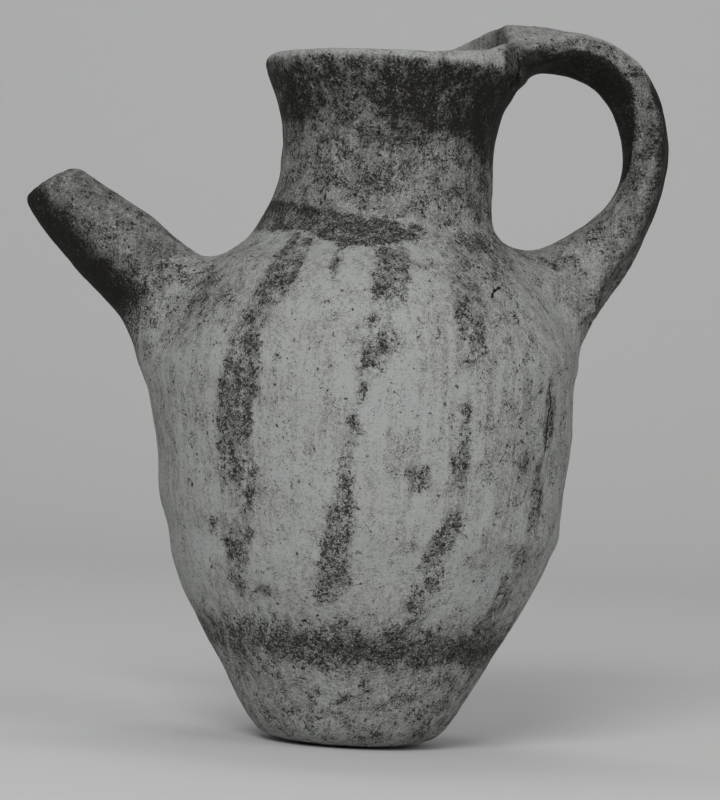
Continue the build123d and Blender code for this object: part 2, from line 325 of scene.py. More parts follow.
# %% [markdown]
# ## The webs on the lip
# Where the strap leaves the lip, the potter pulled a web of clay up each side of it. The far
# one climbs steadily along the lip to the strap's full height. The near one is lower, and a
# dark cleft parts it from the strap. Both are one low wall that follows the lip. Its height is
# listed by the way along the lip from the strap's middle, and the cleft is cut out of it.
# %% Webs
WEB_RADIUS = 42.6
WEB_HEIGHT = (
    (-72, -9), (-60, -2.5), (-54, 0.2), (-48, 1.2), (-41, 2.6), (-36, 3.6), (-31, 5.2), (-26, 6.8), (-21, 8),
    (-14, 8.8), (-5, 12), (2, 15.5), (8, 16.8), (15, 17), (20, 16.4), (29, 13.5), (40, 9.4), (48, 5.4),
    (55, 1.6), (62, -3), (72, -9),
)
CLEFT = np.array((44.5, -19.6, 238.5)), np.array((41.5, -20.2, 256.0))
CLEFT_RADIUS = 2.1
WEB_THIN, WEB_THICKER, WEB_ROUND = 3.1, 1.0, 2.8
LIP_HEIGHT = 244.5


def web_part(spots):
    """Distance to the webs."""
    from_neck = spots - np.array((NECK_SHIFT, 0, 0))
    along, across = from_neck @ STRAP_ALONG, from_neck @ STRAP_ACROSS
    radius = np.hypot(along, across)
    on_lip = np.arctan2(across, along) * WEB_RADIUS
    rise = np.interp(on_lip, *zip(*WEB_HEIGHT))
    thick = WEB_THIN + WEB_THICKER * ease(-np.abs(on_lip), -40, -14)
    sideways = np.abs(radius - WEB_RADIUS - 0.04 * rise) - thick
    upward = np.maximum(spots[:, 2] - LIP_HEIGHT - rise, LIP_HEIGHT - 5 - spots[:, 2])
    outside = np.hypot(np.maximum(sideways + WEB_ROUND, 0), np.maximum(upward + WEB_ROUND, 0))
    return outside + np.minimum(np.maximum(sideways, upward) + WEB_ROUND, 0) - WEB_ROUND


def cleft_part(spots):
    """Distance to the cleft, a slim round cut between two points given along and across the strap."""
    place = np.stack([spots @ STRAP_ALONG, spots @ STRAP_ACROSS, spots[:, 2]], 1)
    low, high = CLEFT
    way = high - low
    share = np.clip((place - low) @ way / (way @ way), 0, 1)
    return np.linalg.norm(place - low - share[:, None] * way, axis=1) - CLEFT_RADIUS

# %% [markdown]
# ## The whole jug
# Now the clay comes together. The neck sits a few millimetres towards the handle, so the turned
# body's middle moves over as it rises, and soft swellings stand where the coils met. The fillet
# under the spout is broader than the one above it, because the potter pulled clay up from the
# belly there. Last the hollow and the spout's bore are carved out, with a rounded lip.
# %% The jug's clay
HANDLE_SIDE_SWELLS = (
    (206, 9, 0.5), (187, 7, -1.3), (139, 6, 1.6), (120, 9, -0.5), (88, 7, 0.7), (76, 6, 1.6),
)
SPOUT_SIDE_SWELLS = (
    (220, 12, -0.3), (177, 5, -2.0), (134, 9, 2.4), (130, 8, 1.2), (102, 11, -0.9), (74, 8, -1.7),
)
SPOUT_FILLET, SPOUT_FILLET_OVER = 14.5, -4.5
STRAP_FILLET, WEB_FILLET, CLEFT_EDGE, BORE_FILLET, LIP_EDGE = 4.0, 3.6, 1.8, 3.0, 2.6


def swelling(z, swells):
    """Soft swellings of the wall, each round its own height, with a reach and a rise."""
    return sum(rise * np.exp(-(((z - height) / reach) ** 2)) for height, reach, rise in swells)


def strap_fillet(out, z):
    """The fillet between the strap and the jug: wide in the loop's lower corner and under the foot."""
    in_loop = ease(-out, -2, 6)
    fillet = STRAP_FILLET + in_loop * (5.0 + 7.0 * ease(-z, -225, -195) + 3.5 * ease(z, 222, 234))
    return fillet + (1 - in_loop) * 9.0 * ease(-z, -172, -155)


def clay(spots, rough=True):
    """Signed distance to the jug's skin in millimetres, negative inside the clay."""
    x, y, z = spots[:, 0], spots[:, 1], spots[:, 2]
    x = x - neck_lean(z)
    radius = np.hypot(x, y)
    to_handle = x / np.maximum(radius, 1)
    swell = np.maximum(to_handle, 0) * swelling(z, HANDLE_SIDE_SWELLS)
    swell += np.maximum(-to_handle, 0) * swelling(z, SPOUT_SIDE_SWELLS)
    outer = look_up(body_sheet, radius - swell, z)
    tube, bore, over = spout_parts(spots)
    outer = join(outer, tube, SPOUT_FILLET + SPOUT_FILLET_OVER * over)
    strap, out, _ = strap_part(spots)
    outer = join(outer, strap, strap_fillet(out, z))
    outer = join(outer, web_part(spots), WEB_FILLET)
    outer = carve(outer, cleft_part(spots), CLEFT_EDGE)
    inner = join(look_up(hollow_sheet, radius, z), bore, BORE_FILLET)
    if rough:
        near = np.abs(np.maximum(outer, -inner)) < 5
        bumps = unevenness(spots[near]) * (0.35 + 0.65 * ease(z[near], 0.5, 8))
        bumps *= 1 - 0.45 * ease(z[near], 240, 246) * ease(-radius[near], -60, -50)
        outer[near] -= bumps
        inner[near] -= 0.5 * bumps
    return carve(outer, inner, LIP_EDGE)

# %% [markdown]
# ## From a distance to a mesh
# The skin is where the distance is zero. A grid of small cells is laid over the jug. Each cell
# that the skin passes through gets one point, at the middle of the places where the skin cuts
# its edges, and every cut edge gets a face between the four cells around it. The points are
# evened out and then moved onto the skin itself.
# %% Laying the skin
CELL = 1.3
BLOCK, BLOCK_REACH = 4, 7.5
FAR_AWAY = 50
BATCH = 4000


def values_near_skin(field, low, counts):
    """The field at every grid point near the skin, and only its sign elsewhere."""
    blocks = [-(-n // BLOCK) for n in counts]
    start = np.stack(np.meshgrid(*[np.arange(b) for b in blocks], indexing="ij"), -1).reshape(-1, 3) * BLOCK
    middle = field(low + (start + (BLOCK - 1) / 2) * CELL, rough=False)
    grid = np.empty([b * BLOCK for b in blocks], np.float32)
    shaped = grid.reshape(blocks[0], BLOCK, blocks[1], BLOCK, blocks[2], BLOCK).transpose(0, 2, 4, 1, 3, 5)
    shaped[:] = np.where(middle > 0, FAR_AWAY, -FAR_AWAY).reshape(blocks)[..., None, None, None]
    close = start[np.abs(middle) < BLOCK_REACH]
    offset = np.stack(np.meshgrid(*[np.arange(BLOCK)] * 3, indexing="ij"), -1).reshape(-1, 3)
    for part in np.array_split(close, max(1, len(close) // BATCH)):
        where = (part[:, None] + offset[None]).reshape(-1, 3)
        grid[tuple(where.T)] = field(low + where * CELL)
    return grid

# %% Evening out the points
def even_out(points, faces, rounds):
    """Each point moves half-way to the middle of its neighbours."""
    here, after = faces.ravel(), np.roll(faces, -1, axis=1).ravel()
    size = len(points)
    count = np.bincount(here, minlength=size) + np.bincount(after, minlength=size)
    for _ in range(rounds):
        sums = [np.bincount(here, way[after], size) + np.bincount(after, way[here], size) for way in points.T]
        points = 0.5 * points + 0.5 * np.stack(sums, 1) / count[:, None]
    return points


def slope_of(field, points, reach=0.35):
    """The field's direction of growth at each point."""
    steps = np.eye(3) * reach
    return np.stack([field(points + step) - field(points - step) for step in steps], 1) / (2 * reach)

# %% Points and faces of the skin
EVEN_ROUNDS, SETTLE_ROUNDS = 2, 3


def cells_on_skin(grid):
    """The cells that the skin passes through, and the middle of the places where it cuts their edges."""
    size = np.array(grid.shape) - 1
    filled = 0
    for i, j, k in CORNERS:
        filled = filled + (grid[i : i + size[0], j : j + size[1], k : k + size[2]] < 0).astype(np.int8)
    cells = np.argwhere((filled > 0) & (filled < 8))
    total, hits = np.zeros((len(cells), 3)), np.zeros(len(cells))
    for corner in CORNERS:
        for axis in range(3):
            if corner[axis]:
                continue
            start, end = cells + corner, cells + corner
            end[:, axis] += 1
            here, there = grid[tuple(start.T)], grid[tuple(end.T)]
            crossed = (here < 0) != (there < 0)
            place = start[crossed].astype(float)
            place[:, axis] += here[crossed] / (here[crossed] - there[crossed])
            total[crossed] += place
            hits[crossed] += 1
    return cells, total / hits[:, None]


def faces_between(cells, solid):
    """A face for every cut edge, between the four cells around it, that looks out of the clay."""
    size = np.array(solid.shape) - 1
    index = np.full(size, -1)
    index[tuple(cells.T)] = np.arange(len(cells))
    faces = []
    for axis in range(3):
        second, third = (axis + 1) % 3, (axis + 2) % 3
        near = np.take(solid, range(size[axis]), axis)
        far = np.take(solid, range(1, size[axis] + 1), axis)
        edge = np.argwhere(near != far)
        for other in (second, third):
            edge = edge[(edge[:, other] > 0) & (edge[:, other] < size[other])]
        around = []
        for back_second, back_third in ((1, 1), (0, 1), (0, 0), (1, 0)):
            cell = edge.copy()
            cell[:, second] -= back_second
            cell[:, third] -= back_third
            around.append(index[tuple(cell.T)])
        quad = np.stack(around, 1)
        inward = ~near[tuple(edge.T)]
        quad[inward] = quad[inward][:, ::-1]
        faces.append(quad)
    return np.concatenate(faces)


def skin(field, low, high):
    """Points and four-sided faces of the surface where the field is zero."""
    low = np.array(low, float)
    counts = [int(n) for n in np.ceil((np.array(high) - low) / CELL)]
    grid = values_near_skin(field, low, counts)
    cells, middles = cells_on_skin(grid)
    faces = faces_between(cells, grid < 0)
    points = even_out(low + middles * CELL, faces, EVEN_ROUNDS)
    for _ in range(SETTLE_ROUNDS):
        slope = slope_of(field, points)
        step = field(points)[:, None] * slope / np.maximum((slope**2).sum(1), 0.3)[:, None]
        points -= np.clip(step, -CELL, CELL)
    return points, faces

# %% From points to an object
def mesh_object(name, points, faces):
    """An object from points in millimetres and a list of faces."""
    mesh = bpy.data.meshes.new(name)
    mesh.from_pydata((np.array(points) * MM).tolist(), [], faces)
    return add_object(name, mesh)


skin_points, skin_faces = skin(clay, (-142, -88, -6), (118, 88, 268))
whole = mesh_object("whole_skin", skin_points, skin_faces.tolist())
off = np.abs(clay(skin_points))
print("skin:", len(skin_points), "points, furthest off the true skin", round(float(off.max()), 2), "mm")

# %% [markdown]
# ## Cutting the clay at its joints
# The frame has twelve pieces, one for each piece of clay that the potter joined, so the skin is
# cut into the same twelve. The cutters are turned shapes: one follows the wall a little outside
# it and sets the spout and the handle free, five cones part the wall, and two collars part the
# soft clay round the roots. A Boolean cut gives both sides the same edge, so the joints close.
# %% Cutters
def turned_shape(name, line, around=192, place=None):
    """A closed solid turned from a line of (radius, height) that starts and ends on the axis."""
    line = np.array(line, float)
    angle = np.arange(around) * 2 * pi / around
    ring = line[1:-1]
    radius, height = ring[:, :1], ring[:, 1:]
    points = np.stack([radius * np.cos(angle), radius * np.sin(angle), height + 0 * angle], -1).reshape(-1, 3)
    points = np.vstack([points, [(0, 0, line[0, 1]), (0, 0, line[-1, 1])]])
    if place is not None:
        points = place(points)
    faces = []
    last_ring = (len(ring) - 1) * around
    for here in range(around):
        following = (here + 1) % around
        for low in range(0, last_ring, around):
            high = low + around
            faces.append((low + here, low + following, high + following, high + here))
        faces.append((len(points) - 2, following, here))
        faces.append((last_ring + here, last_ring + following, len(points) - 1))
    return mesh_object(name, points, faces)

# %% Cutting and dropping
def cut(thing, cutter, how):
    """A new object: thing with the cutter taken away (DIFFERENCE) or kept inside it (INTERSECT)."""
    made = add_object(thing.name, thing.data.copy())
    knife = made.modifiers.new("knife", "BOOLEAN")
    knife.operation, knife.solver, knife.object = how, "MANIFOLD", cutter
    bpy.context.view_layer.update()
    done = bpy.data.meshes.new_from_object(made.evaluated_get(bpy.context.evaluated_depsgraph_get()))
    made.modifiers.clear()
    made.data = done
    return made


def drop(*things):
    """Removes objects that are no longer needed."""
    for thing in things:
        bpy.data.objects.remove(thing)


def follow_neck(points):
    """Turned shapes of the wall lean with the neck, as the clay does."""
    points = points.copy()
    points[:, 0] += neck_lean(points[:, 2])
    return points

# %% Parting the wall from the spout and the handle
WALL_PROUD = 2.6
FLOOR_RADIUS = 24
PROUD_LIP = ((48.9, 242.8), (46.5, 246.0), (39, 246.4), (0, 246.4))


def proud_line():
    """The outside line, moved out by WALL_PROUD, thinned to a point every few millimetres."""
    line = smooth_curve(OUTSIDE, 3.0)
    way = np.gradient(line, axis=0)
    way /= np.linalg.norm(way, axis=1)[:, None]
    out = line + np.stack([way[:, 1], -way[:, 0]], 1) * WALL_PROUD
    out = out[out[:, 0] > FLOOR_RADIUS]
    return np.vstack([(0, -9), (FLOOR_RADIUS, -9), out, *PROUD_LIP])


wall_cutter = turned_shape("wall_cutter", proud_line(), 192, follow_neck)
wall = cut(whole, wall_cutter, "INTERSECT")
fittings = cut(whole, wall_cutter, "DIFFERENCE")
print("wall faces:", len(wall.data.polygons), " fittings faces:", len(fittings.data.polygons))

# %% Parting the wall into its rings
SEAMS = (
    (14.04, 0.50, 41.0), (67.86, 0.45, 67.6), (127.72, 0.30, 75.0), (187.63, -0.45, 41.6),
    (229.98, 0.30, 41.2),
)
BELOW_ALL, ABOVE_ALL, PAST_WALL = -20.0, 262.0, 95
RINGS = ("base", "lower_wall", "belly_wall", "shoulder", "neck", "rim")


def seam_plane(index, radius):
    """Height of a joint at a radius: it rises or falls towards the inside."""
    if index < 0:
        return BELOW_ALL
    if index >= len(SEAMS):
        return ABOVE_ALL
    height, slope, outside = SEAMS[index]
    return height + slope * (outside - radius)


pieces = {}
for index, name in enumerate(RINGS):
    line = [(radius, seam_plane(index - 1, radius)) for radius in (0, PAST_WALL)]
    line += [(radius, seam_plane(index, radius)) for radius in (PAST_WALL, 0)]
    cutter = turned_shape("ring_cutter", line, 96)
    pieces[name] = cut(wall, cutter, "INTERSECT")
    drop(cutter)
print({name: len(piece.data.polygons) for name, piece in pieces.items()})

# %% Parting the spout from its collar
HALF = 150
SPOUT_HALF_AT = (-180, 0, 150)
TUBE_LINE = ((0, -30), (17.6, -30), (16.6, 15), (60, 15), (60, 90), (0, 90))


def stand_on(base, up, across):
    """Places turned shapes with their axis along up, at base."""
    third = np.cross(up, across)
    turning = np.stack([across, third, up])
    return lambda points: base + points @ turning


def spout_half(points):
    """Moves a shape to the spout's side of the jug."""
    return points + SPOUT_HALF_AT


half_line = ((0, -HALF), (HALF, -HALF), (HALF, HALF), (0, HALF))
half_space = turned_shape("half_space", half_line, 48, spout_half)
spout_side = cut(fittings, half_space, "INTERSECT")
handle_side = cut(fittings, half_space, "DIFFERENCE")
tube_place = stand_on(SPOUT_ROOT, SPOUT_AXIS, np.array((0, 1.0, 0)))
tube_cutter = turned_shape("tube_cutter", TUBE_LINE, 96, tube_place)
pieces["spout"] = cut(spout_side, tube_cutter, "INTERSECT")
pieces["spout_collar"] = cut(spout_side, tube_cutter, "DIFFERENCE")

# %% Parting the strap from its collar
HANDLE_ROOT = 63.2 * STRAP_ALONG + (0, 0, 162.9)
ROOT_UP = radians(43)
FOOT_LINE = ((0, -30), (10.6, -30), (10.6, 13), (130, 13), (130, 170), (0, 170))
FOOT_WIDER = 1.22
handle_axis = STRAP_ALONG * cos(ROOT_UP) + (0, 0, sin(ROOT_UP))


def foot_place(points):
    """Stands a shape on the strap's foot, stretched across it, as the strap is oval."""
    return stand_on(HANDLE_ROOT, handle_axis, STRAP_ACROSS)(points * (FOOT_WIDER, 1, 1))


foot_cutter = turned_shape("foot_cutter", FOOT_LINE, 96, foot_place)
arm = cut(handle_side, foot_cutter, "INTERSECT")
pieces["handle_collar"] = cut(handle_side, foot_cutter, "DIFFERENCE")

# %% Parting the webs from the strap
WEB_INNER = 15.6


def box_at(name, low, high):
    """A box along the strap, across it and up."""
    corners = [(x, y, z) for x in (low[0], high[0]) for y in (low[1], high[1]) for z in (low[2], high[2])]
    points = np.array(corners) @ np.stack([STRAP_ALONG, STRAP_ACROSS, (0, 0, 1)])
    faces = [(0, 1, 3, 2), (4, 6, 7, 5), (0, 4, 5, 1), (2, 3, 7, 6), (0, 2, 6, 4), (1, 5, 7, 3)]
    return mesh_object(name, points, faces)


near_box = box_at("near_box", (-20, -60, 238), (62, -WEB_INNER, 270))
far_box = box_at("far_box", (-20, WEB_INNER, 238), (62, 60, 270))
near_web = cut(arm, near_box, "INTERSECT")
far_web = cut(arm, far_box, "INTERSECT")
strap_only = cut(arm, near_box, "DIFFERENCE")
pieces["handle"] = cut(strap_only, far_box, "DIFFERENCE")
with bpy.context.temp_override(active_object=near_web, selected_editable_objects=[near_web, far_web]):
    bpy.ops.object.join()
pieces["handle_saddle"] = near_web

# %% [markdown]
# ## The wad inside
# Inside the shoulder the potter pressed a disc of clay round the end of the strap, to hold it.
# It is only seen through the mouth. It is a flat lump of its own, laid on the inner wall.
# %% The wad of clay
WAD_FLAT_RADIUS, WAD_HALF_THICK = 9.5, 4.6
WAD_IN = 7.5
WAD_GAP = 0.15


def wad_clay(spots, rough=True):
    """A flat lump on the inside of the shoulder, clear of the wall."""
    from_middle = spots - (HANDLE_ROOT - handle_axis * WAD_IN)
    along = from_middle @ handle_axis
    across = np.linalg.norm(from_middle - np.outer(along, handle_axis), axis=1)
    lump = np.hypot(np.maximum(across - WAD_FLAT_RADIUS, 0), along * 0.95) - WAD_HALF_THICK
    if rough:
        lump = lump - 0.5 * waves(spots, 7, 5)
    return np.maximum(lump, WAD_GAP - clay(spots, rough))


wad_points, wad_faces = skin(wad_clay, (34, -16, 136), (72, 30, 178))
pieces["handle_wad"] = mesh_object("handle_wad", wad_points, wad_faces.tolist())
drop(whole, wall, fittings, spout_side, handle_side, arm, strap_only)
drop(wall_cutter, half_space, tube_cutter, foot_cutter, near_box, far_box)
for name, piece in pieces.items():
    piece.name = name + "_clay"
    piece.data.name = name + "_clay"

# %% [markdown]
# A Boolean cut leaves slivers where a knife passes very close to a point of the mesh, and now and
# then a loose crumb. It also leaves points that only two edges meet in, where a face that is cut
# into triangles can fold over on itself. None of this shows, but whoever prints or edits the
# meshes trips over it. So points closer than SLIVER are joined, crumbs of a few faces are taken
# away, and the points with only two edges are dissolved, which moves an edge by about a tenth of
# a millimetre at most.
# %% Cleaning the cut edges
SLIVER = 0.02
CRUMB_FACES = 40
CLEAN_TURNS = 3


def crumbs(mesh):
    """The faces of every loose lump that has fewer than CRUMB_FACES of them."""
    found = []
    seen = set()
    for first in mesh.faces:
        if first in seen:
            continue
        seen.add(first)
        lump = [first]
        for face in lump:
            for edge in face.edges:
                fresh = [other for other in edge.link_faces if other not in seen]
                seen.update(fresh)
                lump.extend(fresh)
        if len(lump) < CRUMB_FACES:
            found.extend(lump)
    return found


def clean(piece):
    """Cleans a piece's mesh and returns how many points went."""
    before = len(piece.data.vertices)
    mesh = bmesh.new()
    mesh.from_mesh(piece.data)
    bmesh.ops.dissolve_degenerate(mesh, dist=SLIVER * MM, edges=mesh.edges[:])
    bmesh.ops.delete(mesh, geom=crumbs(mesh), context="FACES")
    for _ in range(CLEAN_TURNS):
        passing = [point for point in mesh.verts if len(point.link_edges) == 2]
        bmesh.ops.dissolve_verts(mesh, verts=passing)
        bmesh.ops.dissolve_degenerate(mesh, dist=SLIVER * MM, edges=mesh.edges[:])
    mesh.to_mesh(piece.data)
    mesh.free()
    return before - len(piece.data.vertices)


print("points cleaned away:", {name: clean(piece) for name, piece in pieces.items()})
print({piece.name: len(piece.data.polygons) for piece in pieces.values()})

# %% [markdown]
# ## Where the paint is
# The stripes lean down the body like ribbons. Each was measured as a list of places down its
# length: the height, the angle round the jug from the front, half its width in millimetres, and
# how much of the paint is left there. From these, every point of the mesh gets a number for how
# far inside a painted edge it lies, so the shader can draw that edge sharp and ragged at any
# distance. The side that faces away carries the same kind of stripes at the same spacing.
# %% Stripes
STRIPES = (
    (
        (51, -41, 1.5, 0.6), (56, -39, 4, 0.9), (66, -38, 5.5, 1), (76, -37, 7, 0.75), (82, -36, 6.5, 0.6),
        (88, -36, 8, 0.65), (97, -36, 9, 0.75), (105, -37, 8, 1), (117, -36.5, 7.5, 0.95), (127, -35, 9, 0.9),
        (137, -34, 7, 0.85), (146, -34.5, 6.5, 0.8), (151, -33.5, 6.5, 0.8), (158, -30.5, 8, 0.9),
        (167, -30.5, 7, 0.9), (173, -31, 6.5, 0.85), (182, -34, 7.5, 0.6),
    ),
    (
        (52, -9, 3.5, 0.9), (56, -7.5, 6.5, 1), (66, -6.5, 6, 1), (76, -6, 5.5, 1), (87, -4.5, 4.5, 1),
        (95, -4.5, 3, 0.9), (107, -3, 3, 0.65), (119, -2.5, 2, 0.7), (126, -1, 3, 0.65), (135, 2, 5.5, 0.85),
        (144, 3, 6, 0.85), (150, 2.5, 4.5, 0.55), (157, 5, 6, 0.75), (164, 6, 7, 1), (170, 6, 7, 0.85),
        (176, 6, 6.5, 0.6),
    ),
    (
        (45, 21, 3.5, 0.7), (55, 21.5, 6, 0.75), (61, 22.5, 5.5, 0.6), (70, 23.5, 5, 0.9),
        (77, 25, 5.5, 0.95), (87, 27, 3, 0.8), (90, 27, 2, 0.3), (93, 27.5, 2, 0.9), (100, 26.5, 4, 0.95),
        (106, 27, 4, 0.85), (113, 28, 2, 0.8), (122, 27, 2.5, 0.9), (125, 27, 2, 0.15), (131, 28, 2, 0.15),
        (135, 29, 3.5, 0.55), (142, 29, 6, 0.7), (153, 30, 7, 0.75), (162, 30, 6.5, 0.6),
        (175, 32.5, 5.5, 0.5),
    ),
    (
        (45, 55.5, 5.5, 0.6), (56, 54.5, 5.5, 0.8), (66, 55.5, 5, 0.6), (70, 57, 5.5, 0.75), (77, 57, 4, 0.5),
        (89, 58, 4, 0.85), (94, 57, 4, 0.85), (100, 56.5, 3, 0.5), (103, 56.5, 3, 0.9), (107, 57, 2, 0.4),
        (110, 58.5, 3, 0.9), (122, 59, 4, 1), (128, 58.5, 3.5, 1), (133, 58.5, 1.5, 0.7),
    ),
    ((160, -12, 2, 0.35), (166, -13, 1.5, 0.8), (174, -13.5, 1.2, 0.8)),
)
BACK_STRIPES = ((0, 132), (1, 152), (2, 162), (0, -110), (3, -163))
SPOTS = (
    (55, -30, 2.5, 1.1), (78, -46.5, 2, 1), (97, 15, 4.6, 1.3), (104, 48.5, 4, 0.9),
    (174.5, -55.5, 1.3, 0.7), (172, -43.5, 1.3, 0.7), (62, 148, 3, 0.8), (121, -160, 3.5, 0.7),
)


def angle_from_front(points):
    """Degrees round the jug: 0 faces the camera, 90 is the handle and -90 the spout."""
    return np.degrees(np.arctan2(points[:, 0], -points[:, 1]))


def stripe_depth(points, rows, turned_by=0):
    """How far inside a stripe's edge each point lies, in millimetres, and how much paint is left."""
    height, middle, half, left = np.array(rows, float).T
    z = points[:, 2]
    off = angle_from_front(points) - np.interp(z, height, middle) - turned_by
    off = (off + 180) % 360 - 180
    radius = np.hypot(points[:, 0], points[:, 1])
    depth = np.interp(z, height, half) - np.abs(np.radians(off)) * radius
    ends = np.minimum(z - height[0] + 1, height[-1] + 1 - z)
    return np.minimum(depth, ends), np.interp(z, height, left) ** 0.8


print("stripes:", len(STRIPES), "in front and", len(BACK_STRIPES), "behind; spots:", len(SPOTS))

# %% [markdown]
# Two bands ring the jug: one below the lip and one at the foot of the neck. Their edges wander
# up and down, so each is a list of heights at angles round the jug. The lower edge of the lip's
# band and both edges of the foot's band were measured on the front and carried on behind.
# %% Bands
LIP_BAND = (
    (-180, 218, 0.8), (-110, 221.5, 0.9), (-72, 220.5, 1), (-52, 219.5, 1), (-40, 221.5, 0.85),
    (-29, 224.5, 0.7), (-14, 226, 0.6), (-4, 221, 0.75), (4, 216.5, 0.9), (20, 215, 0.95), (37, 217.5, 0.9),
    (50, 214, 0.9), (66, 208, 0.9), (90, 205, 0.9), (130, 212, 0.8), (180, 218, 0.75),
)
FOOT_BAND = (
    (-180, 178.5, 189.5, 0.9), (-120, 181, 191.5, 1.1), (-90, 180.5, 192.5, 1.3), (-64, 180, 192, 1.3),
    (-43, 179.5, 190, 1.3), (-25, 177.5, 188.5, 1.3), (-13, 175, 187, 1.2), (0, 175, 186, 1.25),
    (9, 176.5, 185, 1.05), (18, 178, 184.5, 0.75), (26, 179, 183.5, 0.4), (40, 179.5, 183, 0.2),
    (70, 176, 186, 0.5), (100, 175.5, 187, 0.8), (140, 177, 188.5, 0.9), (180, 178.5, 189.5, 0.9),
)
LIP_BAND_TOP = 242.0
STREAK_WEAR, TOP_WEAR = 0.34, 0.38
FOOT_BAND_SOLID = 1.6
NOT_PAINTED = -9.0


def painted(points):
    """Depth inside the nearest painted edge in millimetres, and how much paint is left there."""
    angle, z = angle_from_front(points), points[:, 2]
    depth, left = np.full(len(points), NOT_PAINTED), np.zeros(len(points))

    def lay(more_depth, more_left):
        """Puts one more painted field over those before, where it is the deepest."""
        nearer = more_depth > depth
        depth[nearer], left[nearer] = more_depth[nearer], np.broadcast_to(more_left, len(points))[nearer]

    for rows in STRIPES:
        lay(*stripe_depth(points, rows))
    for which, turned_by in BACK_STRIPES:
        lay(*stripe_depth(points, STRIPES[which], turned_by))
    radius = np.hypot(points[:, 0], points[:, 1])
    for height, middle, half, spot_left in SPOTS:
        off = (angle - middle + 180) % 360 - 180
        lay(half - np.hypot(np.radians(off) * radius, z - height), spot_left)
    at, *knots = np.array(LIP_BAND).T
    low, band_left = [np.interp(angle, at, knot) for knot in knots]
    worn_top = LIP_BAND_TOP + 1.2 * waves(points, 11, 7)
    streaks = ease(waves(points * (1, 1, 0.4), 4.5, 9), 0.0, 0.75)
    band_left *= (1 - STREAK_WEAR * streaks) * (1 - TOP_WEAR * ease(z, 235, 242))
    lay(np.minimum(z - low, worn_top - z), band_left)
    at, *knots = np.array(FOOT_BAND).T
    low, high, band_left = [np.interp(angle, at, knot) for knot in knots]
    lay(FOOT_BAND_SOLID * np.minimum(z - low, high - z), band_left)
    return np.clip(depth, NOT_PAINTED, -NOT_PAINTED), left

# %% [markdown]
# A few thin cracks are given as short lines on the wall, each from one place to another, as an
# angle and a height. For each point the mesh keeps its way to the side of the nearest crack, which
# the shader turns into a line far thinner than the mesh's own cells.
# %% Cracks
CRACKS = (
    ((40.5, 160.6), (42.4, 162.5)), ((42.4, 162.5), (45.8, 163.8)), ((66.8, 161.6), (68.9, 157.4)),
    ((58.2, 130.3), (59.1, 124.4)), ((59.1, 124.4), (58.0, 119.0)), ((58.0, 119.0), (58.1, 108.9)),
    ((59.5, 93.3), (58.5, 88.4)),
)
CRACK_REACH = 6.0


def crack_numbers(points):
    """How far to the side of the nearest crack each point lies, and how far from it."""
    angle, z = angle_from_front(points), points[:, 2]
    radius = np.hypot(points[:, 0], points[:, 1])
    beside, far = np.full(len(points), CRACK_REACH), np.full(len(points), CRACK_REACH)
    for start, end in CRACKS:
        mid_radius = np.interp((start[1] + end[1]) / 2, *np.array(OUTSIDE[1:]).T[::-1])
        run, rise = radians(end[0] - start[0]) * mid_radius, end[1] - start[1]
        length = np.hypot(run, rise)
        run, rise = run / length, rise / length
        along_wall, up_wall = np.radians(angle - start[0]) * radius, z - start[1]
        past = along_wall * run + up_wall * rise
        side_way = along_wall * rise - up_wall * run
        away = np.hypot(side_way, np.maximum(np.abs(past - length / 2) - length / 2, 0))
        nearer = away < far
        beside[nearer], far[nearer] = side_way[nearer], away[nearer]
    return beside, far


print("crack lines:", len(CRACKS))

# %% [markdown]
# Besides the painted edges there is soft dirt: dark specks round the spout's root, on the neck
# and in a belt above the base, and old paint rubbed into the spout and the handle. Painted shade
# and painted light go into the same number: shade on the sides of the body, in the handle's loop,
# under the strap and the spout, beside the cleft, in the belt and over the base, and light on top
# of the strap and the spout. It is another number from 0 to 1, built from soft patches and from
# bands that fade in and out.
# %% Dirt and painted shade on the wall
BARE_SLIP_SOIL, LIP_TOP_SOIL, FLAP_SOIL = 0.11, 0.14, 0.12
# Soft patches: angle, height, reach round, reach up, amount. The one at 55 degrees and 180 mm is painted
# shade in the handle's loop, and the one at 50 degrees and 112 mm is painted shade on the body's right side;
# the others are dirt.
DIRT_AND_SHADE_PATCHES = (
    (-62, 158, 18, 16, 0.30), (-46, 125, 14, 44, 0.05), (55, 180, 26, 9, 0.44), (40, 163, 20, 17, 0.26),
    (50, 112, 22, 20, 0.14),
)
# Height, reach and amount of a belt of dirt and painted shadow of a ring stand, and painted shadow over the
# base
BELT_LINE, BELT_REACH, BELT_DIRT_AND_SHADOW, BASE_SHADOW = 37, 9, 0.70, 0.27
NECK_SOIL, NECK_CLIMBS = 0.47, ((189, 201, 0.11), (205, 220, 0.16))


def by_height(z, value, climbs):
    """A value that changes in smooth steps on the way up: each from a height, to a height, by how much."""
    for low, high, change in climbs:
        value = value + change * ease(z, low, high)
    return value


def patch(points, angle, height, wide, high):
    """A soft patch on the wall, 1 in its middle: its place, and its reach round and up."""
    off = (angle_from_front(points) - angle + 180) % 360 - 180
    return np.exp(-((off / wide) ** 2) - ((points[:, 2] - height) / high) ** 2)


def on_side(angle, middle, start):
    """1 on the side of the jug round a middle angle, from a start angle on, fading behind it."""
    return ease(angle * np.sign(middle), start[0], start[1]) * ease(-np.abs(angle - middle), -75, -30)


